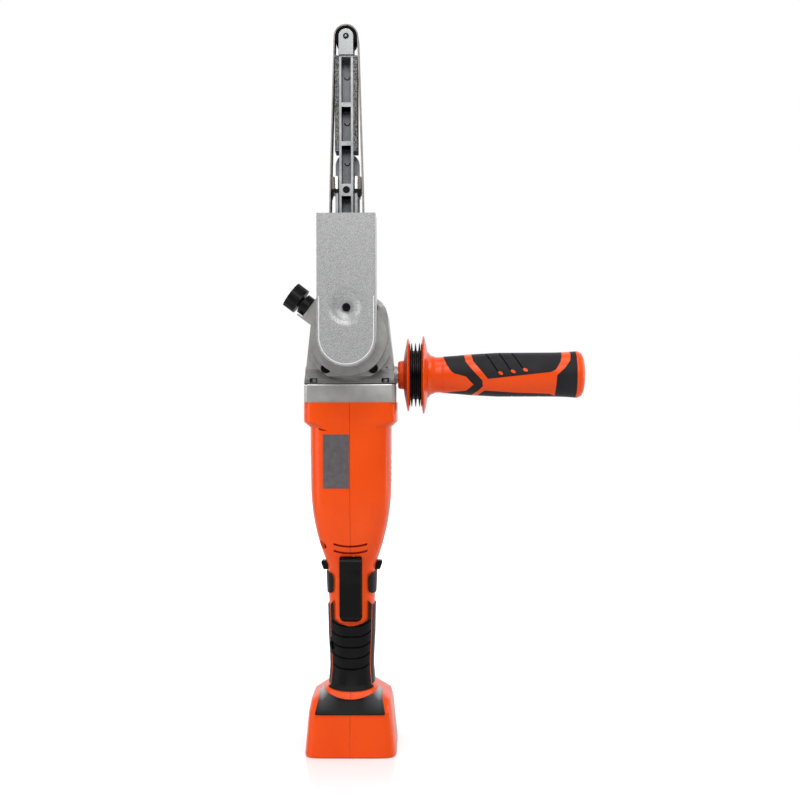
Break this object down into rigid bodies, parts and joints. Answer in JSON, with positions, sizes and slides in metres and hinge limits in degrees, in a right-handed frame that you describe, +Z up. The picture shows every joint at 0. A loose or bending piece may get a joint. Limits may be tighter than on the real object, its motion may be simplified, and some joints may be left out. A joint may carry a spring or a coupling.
{
  "type": "cordless narrow belt sander",
  "caption": "Cordless narrow-belt sander on a battery foot: grip with trigger, motor body, bevel-gear head, swivelling sprung belt arm and side handle.",
  "frame": {"origin": "centre of the foot's bottom face", "axes": "+X towards the side handle, +Y away from the trigger and the belt, +Z up along the motor to the belt arm's nose"},
  "size_m": [0.2371, 0.1155, 0.5583],
  "materials": {
    "orange_plastic": "satin moulded",
    "grip_rubber": "soft moulded",
    "apron_plastic": "glossy",
    "label_film": "smooth",
    "cast_silver": "speckled silver paint",
    "cast_alloy": "cast",
    "dark_alloy": "cast, satin",
    "steel": "ground",
    "bearing_steel": "polished",
    "can_steel": "zinc plated",
    "black_steel": "black oxide",
    "magnet": "matt",
    "dark_plastic": "moulded",
    "black_plastic": "fine grain",
    "copper": "enamelled wire",
    "carbon": "matt",
    "tyre_rubber": "ground",
    "abrasive": "coated cloth",
    "brown_felt": "felt",
    "graphite": "graphite cloth",
    "bright_steel": "polished",
    "board_green": "solder mask"
  },
  "bodies": {
    "tool_body": {"housing_left": "orange_plastic", "housing_right": "orange_plastic", "grip_left": "grip_rubber", "grip_right": "grip_rubber", "foot_aprons": "apron_plastic", "label_plate": "label_film", "housing_screws": "black_steel", "gear_flange": "dark_alloy", "gear_housing": "cast_alloy", "gear_screws": "steel", "bearing_retainer": "cast_alloy", "retainer_screws": "black_steel", "spindle_bearings": "bearing_steel", "motor_bearings": "bearing_steel", "motor_can": "can_steel", "motor_magnets": "magnet", "brush_plate": "dark_plastic", "carbon_brushes": "carbon", "handle_stud": "steel", "handle_front_flange": "orange_plastic", "handle_damper": "grip_rubber", "handle_core": "orange_plastic", "handle_rubber": "grip_rubber", "handle_end_cap": "orange_plastic", "switch_module": "dark_plastic", "control_board": "board_green", "terminal_block": "dark_plastic"},
    "armature": {"motor_shaft": "steel", "armature_core": "can_steel", "armature_windings": "copper", "commutator": "copper", "cooling_fan": "dark_plastic", "pinion_gear": "steel"},
    "drive_spindle": {"spindle": "steel", "crown_gear": "steel", "drive_wheel": "steel", "drive_tyre": "tyre_rubber", "wheel_nut": "steel"},
    "sander_head": {"head_frame": "cast_alloy", "arm_guide": "cast_alloy", "shoe_bracket": "black_steel", "belt_shoes": "brown_felt", "shoe_springs": "bright_steel", "belt_cover": "cast_silver", "cover_screw": "black_steel", "sanding_belt": "abrasive", "tension_spring": "steel"},
    "knob": {"lock_knob": "black_plastic", "knob_nut": "black_plastic", "knob_stud": "steel"},
    "belt_arm": {"arm_bar": "dark_alloy", "arm_screw": "black_steel", "platen_pads": "graphite", "nose_fork": "bright_steel", "nose_axle": "steel"},
    "nose_pulley": {"nose_roller": "tyre_rubber", "nose_bearings": "bearing_steel"},
    "trigger_key": {"trigger": "black_plastic"},
    "lock_off_key": {"lock_off_bar": "black_plastic"},
    "spindle_lock_key": {"spindle_lock_button": "black_plastic"}
  },
  "joints": [
    {"name": "motor_spin", "type": "hinge", "parent": "tool_body", "child": "armature", "pos_m": [0, 0, 0.2], "axis": [0, 0, 1], "continuous": true},
    {"name": "spindle_spin", "type": "hinge", "parent": "tool_body", "child": "drive_spindle", "pos_m": [0, 0, 0.325], "axis": [0, 1, 0], "continuous": true},
    {"name": "head_swivel", "type": "hinge", "parent": "tool_body", "child": "sander_head", "pos_m": [0, -0.04, 0.325], "axis": [0, 1, 0], "range_deg": [-60, 60]},
    {"name": "lock_knob_turn", "type": "hinge", "parent": "sander_head", "child": "knob", "pos_m": [-0.03594, -0.0382, 0.35208], "axis": [-0.7986, 0, 0.6018], "range_deg": [-360, 360]},
    {"name": "arm_tension", "type": "slide", "parent": "sander_head", "child": "belt_arm", "axis": [0, 0, 1], "range_m": [-0.008, 0], "stiffness_N_per_m": 1500, "springref_m": 0.005, "deforming": ["tension_spring"]},
    {"name": "nose_spin", "type": "hinge", "parent": "belt_arm", "child": "nose_pulley", "pos_m": [0, -0.06, 0.5491], "axis": [0, 1, 0], "continuous": true},
    {"name": "trigger_press", "type": "hinge", "parent": "tool_body", "child": "trigger_key", "pos_m": [0, -0.016, 0.149], "axis": [1, 0, 0], "range_deg": [0, 5], "stiffness_Nm_per_rad": 0.6, "springref_deg": -17.19},
    {"name": "lock_off_slide", "type": "slide", "parent": "tool_body", "child": "lock_off_key", "axis": [1, 0, 0], "range_m": [-0.003, 0.003], "stiffness_N_per_m": 800},
    {"name": "spindle_lock_press", "type": "slide", "parent": "tool_body", "child": "spindle_lock_key", "axis": [0, -1, 0], "range_m": [0, 0.003], "stiffness_N_per_m": 600, "springref_m": -0.002}
  ],
  "couplings": [
    {"joint": "spindle_spin", "follows": "motor_spin", "ratio": -0.33333},
    {"joint": "nose_spin", "follows": "motor_spin", "ratio": -0.5303}
  ]
}
